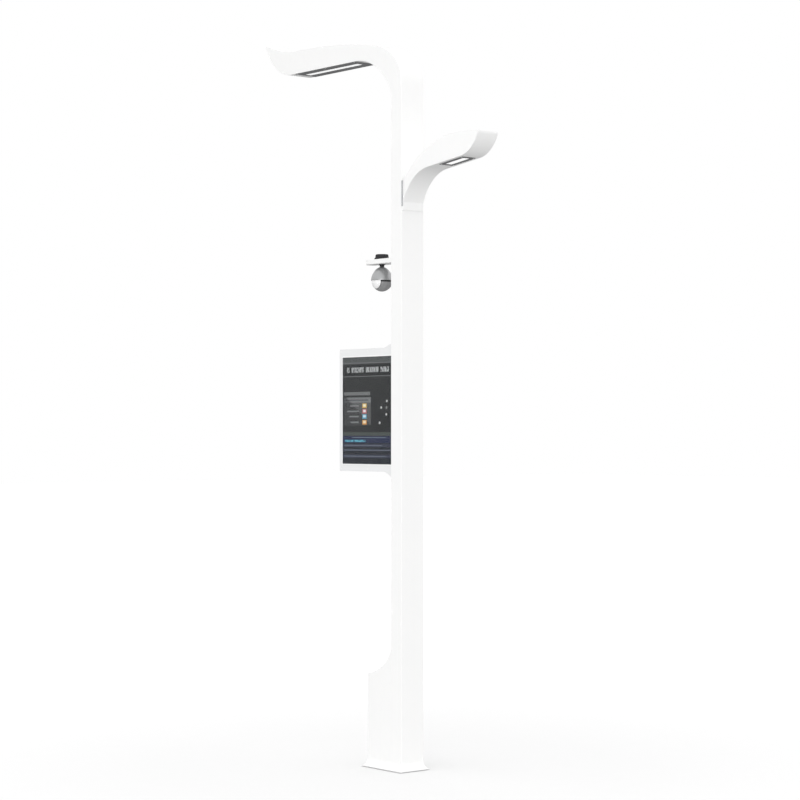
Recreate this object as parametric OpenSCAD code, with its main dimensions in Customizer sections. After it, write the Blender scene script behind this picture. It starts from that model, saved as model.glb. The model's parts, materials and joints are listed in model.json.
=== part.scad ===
// Street charging post: rectangular column with a long lamp arm, a short lamp
// branch, a dome camera on a shelf, a two-sided display and a charging cabinet.
// Millimetres, +Z up, origin at the centre of the anchor pattern on the ground.

/* [Column] */
// Column depth along X
post_d = 134; // [120:1:160]
// Column width along Y
post_w = 237; // [200:1:280]
// Column wall thickness
post_wall = 5; // [4:0.5:8]
// Height of the joint between column and upper arm
post_top = 5560; // [5000:10:6000]

/* [Cabinet] */
// Cabinet depth along X, measured from the column face
cab_d = 304; // [260:1:360]
// Cabinet height at its outer face
cab_h = 782; // [770:1:900]
// Height where the shoulder meets the column
cab_top = 1015; // [980:1:1200]
// Cabinet sheet thickness
cab_wall = 3; // [2:0.5:4]
// Door height
door_h = 440; // [400:1:450]

/* [Base] */
// Base plate thickness
plate_t = 20; // [16:1:30]
// Anchor pattern along X
anchor_x = 340; // [300:1:360]
// Anchor pattern along Y
anchor_y = 150; // [120:1:170]
// Anchor hole diameter
anchor_d = 22; // [18:1:26]
// How far the skirt flares out
flare = 40; // [36:1:60]
// Skirt height
skirt_h = 75; // [60:1:100]

/* [Arms] */
// Wall thickness of both arms
arm_wall = 4; // [3:0.5:6]
// Reach of the upper arm from the column's back face
arm_reach = 1904; // [1850:1:1950]
// Height of the flat underside of the upper arm
arm_under = 5932; // [5900:1:5950]
// Width of the branch
branch_w = 214; // [180:1:220]

/* [Display] */
// Casing thickness
disp_t = 117; // [100:1:140]
// Picture width
pic_w = 680; // [600:1:700]
// Picture height
pic_h = 906; // [800:1:920]

/* [Camera] */
// Height of the camera shelf underside
shelf_z = 4211; // [4000:1:4400]
// Hood radius at its rim
hood_r = 93; // [88:1:100]
// Ball radius
ball_r = 83; // [78:1:84]

/* [Hidden] */
$fn = 48;

xb = -219;                 // back face of the column
xf = xb + post_d;          // front face of the column
xc = xf + cab_d;           // outer face of the cabinet
hw = post_w / 2;           // half width
cam = [179, 0, 4065];      // centre of the camera ball
e = 0.2;                   // assembly gap

// points on a cubic curve
function bez(a, b, c, d, n) = [for (i = [0:n]) let (t = i / n, s = 1 - t)
  s*s*s*a + 3*s*s*t*b + 3*s*t*t*c + t*t*t*d];
function unit(v) = v / norm(v);
function left(v) = [-v[1], v[0]];
// polygon moved inwards by w, for points that run anticlockwise
function inset(p, w) = [for (i = [0:len(p)-1]) let (
    n1 = left(unit(p[i] - p[(i + len(p) - 1) % len(p)])),
    n2 = left(unit(p[(i + 1) % len(p)] - p[i])))
  p[i] + w * (n1 + n2) / (1 + n1 * n2)];
function arc(c, r, a0, a1, n) = [for (i = [0:n]) let (a = a0 + (a1 - a0) * i / n) c + r * [cos(a), sin(a)]];
function upto(p, n) = [for (i = [0:n]) p[i]];
function rest_of(p, n) = [for (i = [n:len(p)-1]) p[i]];

// plate with its outline in the XZ plane, from y0 to y1
module slab(p, y0, y1) translate([0, y1, 0]) rotate([90, 0, 0]) linear_extrude(y1 - y0) polygon(p);
// box by its two corners
module box(a, b) translate(a) cube(b - a);
// cylinders along X and along Y
module xcyl(x0, x1, y, z, r) translate([x0, y, z]) rotate([0, 90, 0]) cylinder(r = r, h = x1 - x0);
module ycyl(x, y0, y1, z, r) translate([x, y1, z]) rotate([90, 0, 0]) cylinder(r = r, h = y1 - y0);
module both_y() { children(); mirror([0, 1, 0]) children(); }

// ---------- outlines ----------
un = 14;
ux = xb;
arm_u1 = bez([134, post_top + 10], [134, 5700], [330, arm_under - 7], [600, arm_under], un);
arm_u2 = bez([1520, arm_under], [1640, arm_under], [1800, arm_under + 78], [arm_reach - 8, arm_under + 293], un);
arm_t1 = bez([arm_reach, arm_under + 305], [arm_reach - 144, arm_under + 248], [1600, arm_under + 198], [1400, arm_under + 198], un);
arm_t2 = bez([1400, arm_under + 198], [1050, arm_under + 198], [640, arm_under + 160], [380, arm_under + 108], un);
arm_t3 = bez([380, arm_under + 108], [160, arm_under + 64], [0, 5860], [0, 5680], un);
function shift(p) = [for (q = p) [q[0] + ux, q[1]]];
arm_outer = shift(concat([[0, post_top], [134, post_top]], arm_u1, arm_u2, arm_t1, rest_of(arm_t2, 1), rest_of(arm_t3, 1)));
arm_inner = inset(shift(concat([[0, post_top - 20], [134, post_top - 20]], arm_u1, upto(arm_u2, 11),
  rest_of(arm_t1, 4), rest_of(arm_t2, 1), rest_of(arm_t3, 1))), arm_wall);

br_u1 = bez([-938, 5178], [-890, 5070], [-800, 5016], [-730, 5007], un);
br_u2 = bez([-330, 4958], [-110, 4935], [-5, 4740], [0, 4620], un);
br_t1 = bez([0, 4850], [-60, 4960], [-250, 5120], [-520, 5186], un);
br_t2 = bez([-520, 5186], [-630, 5212], [-790, 5206], [-938, 5190], un);
br_outer = shift(concat(br_u1, br_u2, br_t1, rest_of(br_t2, 1)));
br_inner = inset(shift(concat(rest_of(br_u1, 3), br_u2, br_t1, upto(rest_of(br_t2, 1), un - 3))), arm_wall);
br_a = atan(49 / 400);

cab_curve = bez([xc, cab_h], [111, cab_h + 8], [-55, cab_top - 135], [xf, cab_top], 20);
cab_outer = concat([[xf, plate_t], [xc, plate_t]], cab_curve);
cab_inner = inset(concat([[xf - 12, plate_t - 12], [xc, plate_t - 12]], cab_curve, [[xf - 12, cab_top + 10]]), cab_wall);

disp_x1 = 681;
disp_z0 = 2470;
disp_z1 = 3507;
disp_r = 8;
disp_top = bez([xf + 172, disp_z1], [xf + 118, disp_z1 + 8], [xf + 60, disp_z1 + 45], [xf, disp_z1 + 92], 12);
disp_bot = bez([xf, disp_z0 - 92], [xf + 60, disp_z0 - 45], [xf + 118, disp_z0 - 8], [xf + 172, disp_z0], 12);
disp_outer = concat(disp_bot,
  arc([disp_x1 - disp_r, disp_z0 + disp_r], disp_r, -90, 0, 6),
  arc([disp_x1 - disp_r, disp_z1 - disp_r], disp_r, 0, 90, 6), disp_top);
pic_x0 = 642 - pic_w;
pic_z0 = 2984 - pic_h / 2;

// ---------- base ----------
module base_plate() color("dimgray") difference() {
  box([xb - 12, -hw - 12, 0], [xc + 12, hw + 12, plate_t]);
  for (sx = [-1, 1], sy = [-1, 1])
    translate([sx * anchor_x / 2, sy * anchor_y / 2, -1]) cylinder(d = anchor_d, h = plate_t + 2);
  translate([60, 0, -1]) cylinder(r = 40, h = plate_t + 2);
}
skirt_gap = 4;              // shadow gap between the skirt and the paving
skirt_line = concat([[flare, skirt_gap]], bez([flare, 9], [20, 14], [4, 35], [2.5, skirt_h], 10),
  [[0.5, skirt_h]], bez([0.5, skirt_h - 5], [0.5, 33], [flare - 24, 10], [flare - 4, 8], 10), [[flare - 4, skirt_gap]]);
module skirt_run(l) rotate([90, 0, 90]) linear_extrude(l, center = true) polygon(skirt_line);
module skirt_half() union() {
  intersection() {
    translate([0, hw, 0]) skirt_run(700);
    linear_extrude(200) polygon([[xb, hw], [xc, hw], [xc + 80, hw + 80], [xb - 80, hw + 80]]);
  }
  for (s = [0, 1]) mirror([s, 0, 0]) intersection() {
    translate([xc, 0, 0]) rotate([0, 0, -90]) skirt_run(600);
    linear_extrude(200) polygon([[xc, 0.2], [xc + 80, 0.2], [xc + 80, hw + 80], [xc, hw]]);
  }
}
module base_skirt_rear() color("white") skirt_half();
module base_skirt_front() color("white") mirror([0, 1, 0]) skirt_half();

// ---------- column ----------
bolt_yz_display = [[-35, 2620], [35, 2620], [-35, 3350], [35, 3350]];
shelf_t = 39;               // thickness of the camera shelf
shelf_mid = shelf_z + shelf_t / 2;
bolt_yz_shelf = [[-60, shelf_mid], [60, shelf_mid]];
bolt_yz_branch = [[-70, 4752], [70, 4752], [-70, 4822], [70, 4822]];
way_y = 20;
access_z = 500;            // joint between the access plate and the long face plate
module side_plate() box([xb, hw - post_wall, plate_t], [xf, hw, post_top]);
module column_side_plate_rear() color("white") side_plate();
module column_side_plate_front() color("white") mirror([0, 1, 0]) side_plate();
module column_back_plate() color("white") difference() {
  box([xb, -hw + post_wall, plate_t], [xb + post_wall, hw - post_wall, post_top]);
  for (p = bolt_yz_branch) xcyl(xb - 1, xb + 8, p[0], p[1], 6.2);
  xcyl(xb - 1, xb + 8, way_y, 4780, 12);
}
module column_face_plate() color("white") difference() {
  box([xf - post_wall, -hw + post_wall, access_z], [xf, hw - post_wall, post_top]);
  for (p = concat(bolt_yz_display, bolt_yz_shelf)) xcyl(xf - 8, xf + 1, p[0], p[1], 6.2);
  xcyl(xf - 8, xf + 1, way_y, 3000, 12);
  xcyl(xf - 8, xf + 1, way_y, shelf_mid, 12);
}
module column_access_plate() color("white") difference() {
  box([xf - post_wall, -hw + post_wall, plate_t], [xf, hw - post_wall, access_z]);
  box([xf - post_wall - 1, -70, 80], [xf + 1, 70, 480]);
}
module arm_spigot() color("gray") difference() {
  box([xb + post_wall + e, -hw + post_wall + e, post_top - 160], [xf - post_wall - e, hw - post_wall - e, post_top + 120]);
  box([xb + post_wall + 7, -hw + post_wall + 7, post_top - 161], [xf - post_wall - 7, hw - post_wall - 7, post_top + 121]);
}

// ---------- upper arm ----------
led_x0 = 391; led_x1 = 1246; led_hw = 113;
lens_x0 = 471; lens_x1 = 1211; lens_y0 = -33; lens_y1 = 33;
module upper_arm_shell() color("white") difference() {
  slab(arm_outer, -hw, hw);
  slab(arm_inner, -hw + arm_wall, hw - arm_wall);
  box([led_x0 + 12, -led_hw + 12, arm_under - 1], [led_x1 - 12, led_hw - 12, arm_under + arm_wall + 1]);
}
// one lamp module, with the plane of the arm's underside at z = 0
module led_bezel(x0, x1, w, l, h) difference() {
  union() {
    box([x0, -w, -3], [x1, w, 0]);
    box([x0 + 12.5, -w + 12.5, -0.5], [x1 - 12.5, w - 12.5, 20]);
  }
  box([l[0], l[2], -4], [l[1], l[3], 1]);
  box([x0 + 17, -w + 17, 0], [x1 - 17, w - 17, 21]);
}
module led_lens(l) union() {
  box([l[0] + e, l[2] + e, -0.5], [l[1] - e, l[3] - e, 1.5]);
  box([l[0] - 7, l[2] - 7, 0], [l[1] + 7, l[3] + 7, 3]);
}
module led_board(x0, x1, w) box([x0 + 22, -w + 22, 8], [x1 - 22, w - 22, 10]);
module led_row(l, p) for (x = [l[0] + 20 : p : l[1] - 20], k = [0.2, 0.5, 0.8])
  let (y = l[2] + k * (l[3] - l[2])) box([x - 4, y - 4, 5], [x + 4, y + 4, 8]);
module led_heatsink(x0, x1, w) union() {
  box([x0 + 22, -w + 22, 10], [x1 - 22, w - 22, 20.5]);
  box([x0 + 12.5, -w + 12.5, 20], [x1 - 12.5, w - 12.5, 26]);
  for (y = [-w + 20 : 16 : w - 23]) box([x0 + 20, y, 25], [x1 - 20, y + 3, 52]);
}
u_lens = [lens_x0, lens_x1, lens_y0, lens_y1];
module on_arm() translate([0, 0, arm_under]) children();
module upper_led_bezel() color([0.3, 0.3, 0.31]) on_arm() led_bezel(led_x0, led_x1, led_hw, u_lens, 20);
module upper_led_lens() color([0.95, 0.95, 0.95]) on_arm() led_lens(u_lens);

// ---------- branch ----------
b_x0 = -181.4; b_x1 = 105.8; b_hw = 73;
b_lens = [-151, 75.6, -36, 36];
module on_branch() translate([-530 + ux, 0, 4982.5]) rotate([0, br_a, 0]) children();
plate_z = [4662, 4872];
module branch_mount_plate() color([0.35, 0.35, 0.36]) difference() {
  box([xb - 8, -branch_w / 2 + 1, plate_z[0]], [xb, hw, plate_z[1]]);
  for (p = bolt_yz_branch) xcyl(xb - 9, xb + 1, p[0], p[1], 6.2);
  xcyl(xb - 9, xb + 1, way_y, 4780, 12);
}
module branch_arm_shell() color("white") difference() {
  union() {
    difference() {
      slab(br_outer, -branch_w / 2, branch_w / 2);
      slab(br_inner, -branch_w / 2 + arm_wall, branch_w / 2 - arm_wall);
    }
    box([xb - 13, -branch_w / 2, 4630], [xb, branch_w / 2, 4700]);
  }
  box([xb - 30, -hw, 4600], [xb + 1, hw, 4630]);
  box([xb - 8 - e, -hw, plate_z[0] - e], [xb + 1, hw, plate_z[1] + e]);
  on_branch() box([b_x0 + 12, -b_hw + 12, -3], [b_x1 - 12, b_hw - 12, arm_wall + 3]);
}
module branch_led_bezel() color([0.3, 0.3, 0.31]) on_branch() led_bezel(b_x0, b_x1, b_hw, b_lens, 20);
module branch_led_lens() color([0.95, 0.95, 0.95]) on_branch() led_lens(b_lens);
module led_boards() color("darkgreen") { on_arm() led_board(led_x0, led_x1, led_hw); on_branch() led_board(b_x0, b_x1, b_hw); }
module led_chips() color("lightyellow") { on_arm() led_row(u_lens, 37); on_branch() led_row(b_lens, 37); }
module led_heatsinks() color("silver") { on_arm() led_heatsink(led_x0, led_x1, led_hw); on_branch() led_heatsink(b_x0, b_x1, b_hw); }
module led_drivers() color("gray") { on_arm() box([450, -60, 52], [720, 60, 92]); on_branch() box([-60, -45, 52], [70, 45, 88]); }

// ---------- camera ----------
shelf_line = concat([[xf, -80]], arc([267, 0], 80, -90, 90, 24), [[xf, 80]]);
module camera_shelf() color("white") difference() {
  translate([0, 0, shelf_z]) linear_extrude(shelf_t) polygon(shelf_line);
  translate([0, 0, shelf_z + 3]) linear_extrude(shelf_t - 6) polygon(inset(shelf_line, 4));
  for (p = bolt_yz_shelf) xcyl(xf - 1, xf + 8, p[0], p[1], 6.2);
  xcyl(xf - 1, xf + 8, way_y, shelf_mid, 12);
  translate([150, way_y, shelf_z + shelf_t - 8]) cylinder(r = 10, h = 20);
}
module camera_junction_box() color([0.1, 0.1, 0.1]) translate([cam[0], cam[1], shelf_z + shelf_t]) rotate_extrude($fn = 72)
  polygon([[0, 0], [64, 0], [64, 11], [57, 17], [54, 39], [49, 44], [0, 44]]);
hood_z = 4075;
hood_top = 4191;
function egg(r, h, z0, a0, a1, n) = [for (i = [0:n]) let (a = a0 + (a1 - a0) * i / n) [r * pow(cos(a), 1.11), z0 + h * pow(sin(a), 1.11)]];
hood_h = hood_top - hood_z;
module camera_hood() color([0.85, 0.85, 0.86]) translate([cam[0], cam[1], 0]) rotate_extrude($fn = 72)
  polygon(concat(egg(hood_r, hood_h, hood_z, 0, 82.5, 18), [[9.2, hood_top - 1.2], [9.2, hood_top - 4.2]],
    egg(hood_r - 2.5, hood_h - 3, hood_z, 82.3, 0, 18)));
module camera_neck() color([0.08, 0.08, 0.08]) translate([cam[0], cam[1], 0]) difference() {
  union() {
    translate([0, 0, hood_top - 0.5]) cylinder(r = 20, h = shelf_z - hood_top + 0.5);
    translate([0, 0, shelf_z - 5]) cylinder(r = 26, h = 5);
  }
  translate([0, 0, hood_top - 2]) cylinder(r = 8.05, h = 14);
}
yoke_r = 86;
cheek_y = 62;
module camera_yoke() color("white") translate(cam) difference() {
  union() { difference() { union() {
    both_y() intersection() {
      sphere(r = yoke_r, $fn = 72);
      translate([-100, cheek_y, -100]) cube([200, 100, 200]);
    }
    translate([0, 0, -cam[2]]) rotate_extrude($fn = 72) polygon(concat([[0, 4118]],
      egg(hood_r - 4, hood_h - 4, hood_z, 25.5, 58, 10), [[8, hood_top - 18], [8, 4201], [0, 4201]]));
  }
  sphere(r = ball_r + 1.5, $fn = 72); }
  for (s = [-1, 1]) ycyl(0, s > 0 ? 60 : -85, s > 0 ? 85 : -60, 0, 12); }
  for (s = [-1, 1]) ycyl(0, s > 0 ? 50 : -78, s > 0 ? 78 : -50, 0, 6);
}
module camera_seal() color([0.05, 0.05, 0.05]) translate([cam[0], cam[1], 0]) intersection() {
  difference() {
    translate([0, 0, 4061.5]) cylinder(r = 86, h = 12.5, $fn = 72);
    translate([0, 0, 4060]) cylinder(r = 83.9, h = 16, $fn = 72);
  }
  box([-100, -cheek_y + e, 4000], [100, cheek_y - e, 4200]);
}
module camera_tilt_pins() color("silver") for (s = [-1, 1])
  ycyl(cam[0], s > 0 ? 48 : -78, s > 0 ? 78 : -48, cam[2], 6);
look = 40;                 // angle below level at which the camera rests
module camera_ball() color([0.4, 0.4, 0.41]) translate(cam) rotate([0, look, 0]) difference() {
  intersection() {
    sphere(r = ball_r, $fn = 72);
    box([-90, -55, -90], [76, 55, 90]);
  }
  intersection() {
    sphere(r = ball_r - 3, $fn = 72);
    box([-90, -51, -90], [73, 51, 90]);
  }
  xcyl(60, 90, 0, 0, 30);
  for (s = [-1, 1]) ycyl(0, s > 0 ? 40 : -70, s > 0 ? 70 : -40, 0, 6.05);
}
module camera_lens() color([0.12, 0.12, 0.13]) translate(cam) rotate([0, look, 0]) union() {
  box([-50, -35, -35], [20, 35, 35]);
  xcyl(19, 66, 0, 0, 24);
  xcyl(-78.6, -49, 0, 0, 14);
}
module camera_window() color([0.2, 0.22, 0.25]) translate(cam) rotate([0, look, 0]) union() {
  xcyl(66, 73, 0, 0, 32);
  xcyl(72.5, 77, 0, 0, 29.8);
}

// ---------- display ----------
module display_ring(y0, y1, w) difference() {
  slab(disp_outer, y0, y1);
  slab(inset(disp_outer, w), y0 - 1, y1 + 1);
}
module display_case() color("white") difference() {
  display_ring(-disp_t / 2 + 3, disp_t / 2 - 3, 4);
  for (p = bolt_yz_display) xcyl(xf - 1, xf + 6, p[0], p[1], 6.2);
  xcyl(xf - 1, xf + 6, way_y, 3000, 12);
}
module display_bezel() difference() {
  slab(disp_outer, -disp_t / 2, -disp_t / 2 + 3);
  box([pic_x0, -100, pic_z0], [pic_x0 + pic_w, 0, pic_z0 + pic_h]);
}
module display_glass() box([pic_x0 - 12, -disp_t / 2 + 3, pic_z0 - 12], [pic_x0 + pic_w + 12, -disp_t / 2 + 7, pic_z0 + pic_h + 12]);
module display_lcd() box([pic_x0 - 8, -disp_t / 2 + 7, pic_z0 - 8], [pic_x0 + pic_w + 8, -disp_t / 2 + 22, pic_z0 + pic_h + 8]);
module display_bezel_front() color("whitesmoke") display_bezel();
module display_bezel_rear() color("whitesmoke") mirror([0, 1, 0]) display_bezel();
module display_glass_front() color([0.2, 0.2, 0.22]) display_glass();
module display_glass_rear() color([0.2, 0.2, 0.22]) mirror([0, 1, 0]) display_glass();
module display_lcd_front() color([0.25, 0.26, 0.26]) display_lcd();
module display_lcd_rear() color([0.25, 0.26, 0.26]) mirror([0, 1, 0]) display_lcd();
module display_chassis() color("silver") union() {
  box([xf + 40, -2, disp_z0 + 6], [disp_x1 - 6, 2, disp_z1 - 6]);
  both_y() for (x = [20, 300, 580], z = [disp_z0 + 150, disp_z1 - 150])
    ycyl(x, 1.5, disp_t / 2 - 22, z, 10);
}
module display_controller() color("darkgreen") union() {
  box([60, 2, 2900], [260, 8, 3150]);
  box([80, 8, 2920], [140, 24, 2990]);
  box([170, 8, 3040], [240, 20, 3130]);
}
module display_power_supply() color("silver") box([360, 2, 2860], [540, 32, 3110]);

// ---------- cabinet ----------
door_x = [-50, 190];
door_z = [120, 120 + door_h];
pan_x = [-35, 175];
pan_z = [590, 755];
sock = [40, 668];
btn = [132, 640];
module front_opening(x, z, g, y0, y1) box([x[0] - g, y0, z[0] - g], [x[1] + g, y1, z[1] + g]);
module cabinet_shell() color("white") difference() {
  union() {
    difference() {
      slab(cab_outer, -hw, hw);
      slab(cab_inner, -hw + cab_wall, hw - cab_wall);
    }
    front_opening(door_x, door_z, 3, -hw + cab_wall - 0.5, -hw + 9);
  }
  front_opening(door_x, door_z, 0, -hw - 1, -hw + 10);
  front_opening(pan_x, pan_z, -10, -hw - 1, -hw + 10);
}
lock_at = [-28, 340];
module cabinet_door() color("white") difference() {
  front_opening(door_x, door_z, -2, -hw, -hw + 8.5);
  front_opening(door_x, door_z, -4, -hw + 2.5, -hw + 9);
  ycyl(lock_at[0], -hw - 1, -hw + 9, lock_at[1], 9.05);
}
hinge = [door_x[1] + 4, -hw - 4.3];
hinge_z = [180, 460];
module knuckle(z, h) translate([hinge[0], hinge[1], z]) cylinder(r = 4, h = h);
module door_hinge_leaf_fixed() color("silver") for (z = hinge_z) union() {
  difference() {
    union() {
      box([hinge[0] + 1, -hw - 2, z], [hinge[0] + 19, -hw, z + 60]);
      knuckle(z, 19.8);
      knuckle(z + 40.2, 19.8);
      for (k = [0, 40.2]) box([hinge[0], -hw - 3, z + k], [hinge[0] + 4, -hw, z + k + 19.8]);
    }
    box([hinge[0] - 5, -hw - 9, z + 19.8], [hinge[0] + 5, -hw + 1, z + 40.2]);
  }
  translate([hinge[0], hinge[1], z - 1.5]) cylinder(r = 2, h = 61.5);
  translate([hinge[0], hinge[1], z - 1.5]) cylinder(r = 3.2, h = 1.6);
}
module door_hinge_leaf_moving() color("silver") for (z = hinge_z) difference() {
  union() {
    box([hinge[0] - 24, -hw - 2, z], [hinge[0] - 6.5, -hw, z + 60]);
    knuckle(z + 20.2, 19.6);
    box([hinge[0] - 7, -hw - 3.5, z + 20.2], [hinge[0], -hw - 0.3, z + 39.8]);
  }
  translate([hinge[0], hinge[1], z - 1]) cylinder(r = 2.05, h = 62);
}
module door_lock() color("silver") difference() {
  union() {
    ycyl(lock_at[0], -hw - 3, -hw - 0.1, lock_at[1], 13);
    ycyl(lock_at[0], -hw - 1, -hw + 14, lock_at[1], 9);
    box([lock_at[0] - 8, -hw + 10, lock_at[1] - 37], [lock_at[0] + 8, -hw + 13, lock_at[1] + 8]);
  }
  intersection() {
    ycyl(lock_at[0], -hw - 4, -hw + 2, lock_at[1], 5);
    box([lock_at[0] - 5, -hw - 4, lock_at[1] - 3], [lock_at[0] + 5, -hw + 2, lock_at[1] + 3]);
  }
}
// user panel with the outlet
pf = -hw - 3;              // front face of the panel
module round_rect(x, z, r, y0, y1) slab(concat(
  arc([x[0] + r, z[0] + r], r, 180, 270, 6), arc([x[1] - r, z[0] + r], r, 270, 360, 6),
  arc([x[1] - r, z[1] - r], r, 0, 90, 6), arc([x[0] + r, z[1] - r], r, 90, 180, 6)), y0, y1);
flap_ax = [-126.6, sock[1] + 46];
module socket_panel() color([0.16, 0.16, 0.17]) difference() {
  union() {
    round_rect(pan_x, pan_z, 10, pf, -hw);
    front_opening(pan_x, pan_z, -10.3, -hw - 0.5, -hw + 8);
    ycyl(sock[0], pf - 1.8, pf + 1, sock[1], 33.5);
    for (x = [-39, 34]) box([sock[0] + x, flap_ax[0] - 4, flap_ax[1] - 5], [sock[0] + x + 5, pf + 0.5, flap_ax[1] + 5]);
  }
  front_opening(pan_x, pan_z, -13, -hw + 0.01, -hw + 9);
  ycyl(sock[0], pf - 3, -hw + 1, sock[1], 30);
  ycyl(btn[0], pf - 1, -hw + 1, btn[1], 9.05);
  round_rect([108, 156], [676, 736], 5, pf - 1, pf + 1.2);
  xcyl(sock[0] - 40, sock[0] + 40, flap_ax[0], flap_ax[1], 2.05);
}
module socket_body() color([0.1, 0.1, 0.11]) difference() {
  union() {
    ycyl(sock[0], pf - 1.8, -62, sock[1], 29.8);
    ycyl(sock[0], -hw + 0.1, -hw + 4, sock[1], 34);
  }
  difference() {
    ycyl(sock[0], pf - 3, -75, sock[1], 27);
    ycyl(sock[0], pf + 13, -74, sock[1], 21.5);
  }
  for (a = [90, 150, 30, 210, 330]) ycyl(sock[0] + 12.5 * cos(a + 180), -112, -85, sock[1] + 12.5 * sin(a + 180), 3.1);
  ycyl(sock[0] - 7, -112, -85, sock[1] + 15, 1.8);
  ycyl(sock[0] + 7, -112, -85, sock[1] + 15, 1.8);
}
module socket_flap() color([0.14, 0.14, 0.15]) difference() {
  union() {
    round_rect([sock[0] - 33, sock[0] + 33], [sock[1] - 37, sock[1] + 41], 12, flap_ax[0] - 0.4, flap_ax[0] + 3);
    xcyl(sock[0] - 33.5, sock[0] + 33.5, flap_ax[0], flap_ax[1], 4);
    xcyl(sock[0] - 38.5, sock[0] + 38.5, flap_ax[0], flap_ax[1], 2);
    box([sock[0] - 30, flap_ax[0] - 0.4, flap_ax[1] - 8], [sock[0] + 30, flap_ax[0] + 3, flap_ax[1]]);
    box([sock[0] - 14, flap_ax[0] - 4.4, sock[1] - 37], [sock[0] + 14, flap_ax[0], sock[1] - 32]);
  }
}
module status_ring() color([0.2, 0.8, 0.4]) difference() {
  ycyl(sock[0], pf - 1, pf, sock[1], 38);
  ycyl(sock[0], pf - 2, pf + 1, sock[1], 34);
}
module rfid_reader() color([0.05, 0.05, 0.06]) round_rect([108.2, 155.8], [676.2, 735.8], 5, pf + 0.2, pf + 1.2);
module start_button() color("limegreen") union() {
  ycyl(btn[0], pf - 3.5, -hw + 6, btn[1], 9);
  ycyl(btn[0], -hw + 0.3, -hw + 3, btn[1], 11.5);
}
module equipment_plate() color("silver") union() {
  box([-60, hw - cab_wall - 4, 110], [200, hw - cab_wall, 570]);
  for (z = [250, 470]) {
    box([-60, hw - cab_wall - 8, z - 13.5], [200, hw - cab_wall - 3.5, z + 13.5]);
    box([-60, hw - cab_wall - 11, z - 17.5], [200, hw - cab_wall - 7.5, z + 17.5]);
  }
}
rail_y = hw - cab_wall - 11;
module circuit_breakers() color([0.85, 0.85, 0.85]) for (k = [0:3]) union() {
  box([-40 + k * 18, rail_y - 52, 428], [-22.5 + k * 18, rail_y, 513]);
  box([-40 + k * 18, rail_y - 64, 450], [-22.5 + k * 18, rail_y - 51, 491]);
  box([-34 + k * 18, rail_y - 72, 462], [-28 + k * 18, rail_y - 63, 480]);
}
module contactor() color([0.2, 0.2, 0.22]) union() {
  box([50, rail_y - 60, 430], [95, rail_y, 511]);
  box([56, rail_y - 74, 452], [89, rail_y - 59, 488]);
}
module energy_meter() color([0.8, 0.8, 0.82]) union() {
  box([112, rail_y - 44, 428], [184, rail_y, 513]);
  box([120, rail_y - 58, 448], [176, rail_y - 43, 494]);
}
module charge_controller() color([0.3, 0.3, 0.32]) box([-45, hw - cab_wall - 50, 600], [165, hw - cab_wall, 735]);
module terminal_block() color([0.7, 0.7, 0.68]) for (k = [0:13]) union() {
  box([-45 + k * 10, rail_y - 45, 226], [-35.6 + k * 10, rail_y, 274]);
  box([-44 + k * 10, rail_y - 100, 240], [-36.6 + k * 10, rail_y - 44, 260]);
}

// ---------- wiring and fasteners ----------
module run(a, b, r) let (d = b - a, l = norm(d)) translate(a)
  rotate([0, acos(d[2] / l), atan2(d[1], d[0])]) cylinder(r = r, h = l, $fn = 24);
module bend(p, r) translate(p) sphere(r = r, $fn = 24);
wr = 7;
rx = -150;
function route(p) = [for (q = p) [q[0], way_y, q[1]]];
main_way = route([[-5, 260], [-5, 330], [rx, 330], [rx, 5700], [200, 5995], [450, 5995]]);
lamp_way = route([[rx, 4780], [-232, 4780], [-272, 4850], [-345, 4930], [-431, 4992], [-560, 5040], [-671, 5043]]);
eye_way = route([[rx, shelf_mid], [150, shelf_mid], [150, shelf_z + shelf_t]]);
screen_way = route([[rx, 3000], [60, 3000]]);
module cable(p, r) {
  for (i = [1:len(p)-1]) run(p[i - 1], p[i], r);
  if (len(p) > 2) for (i = [1:len(p)-2]) bend(p[i], r + 0.8);
}
module wiring_harness() color([0.1, 0.1, 0.1]) union() {
  cable(main_way, wr);
  cable(lamp_way, 6);
  cable(eye_way, 6);
  cable(screen_way, 6);
}
module bolt(x, s, p) union() {
  translate([s > 0 ? x : x - 8, p[0], p[1]]) rotate([0, 90, 0]) cylinder(r = 10, h = 8, $fn = 6);
  xcyl(s > 0 ? x - 14 : x - 0.5, s > 0 ? x + 0.5 : x + 20, p[0], p[1], 6);
}
module structural_bolts() color("silver") {
  for (p = concat(bolt_yz_display, bolt_yz_shelf)) bolt(xf + 4, 1, p);
  for (p = bolt_yz_branch) bolt(xb - 8, -1, p);
}
module screw_down() union() { translate([0, 0, -2.2]) cylinder(r = 4, h = 2.2); translate([0, 0, -0.5]) cylinder(r = 2, h = 7); }
module screw_in(x, y, z, s) union() {
  ycyl(x, s > 0 ? y : y - 2, s > 0 ? y + 2 : y, z, 4);
  ycyl(x, s > 0 ? y - 12 : y - 0.5, s > 0 ? y + 0.5 : y + 12, z, 2);
}
module cover_screws() color("silver") {
  for (x = [led_x0 + 30, (led_x0 + led_x1) / 2, led_x1 - 30], s = [-1, 1]) translate([x, s * 106, arm_under - 3]) screw_down();
  on_branch() for (x = [b_x0 + 20, b_x1 - 20], s = [-1, 1]) translate([x, s * 62, -3]) screw_down();
  for (x = [pic_x0 - 20, 300, pic_x0 + pic_w + 20], z = [disp_z0 + 20, disp_z1 - 20], s = [-1, 1])
    screw_in(x, s * disp_t / 2, z, s);
  for (x = [-150, 150], s = [-1, 1]) screw_in(x, s * (hw + 3), skirt_h - 8, s);
  for (x = [pan_x[0] + 7, pan_x[1] - 7], z = [pan_z[0] + 7, pan_z[1] - 7]) screw_in(x, pf, z, -1);
}

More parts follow.
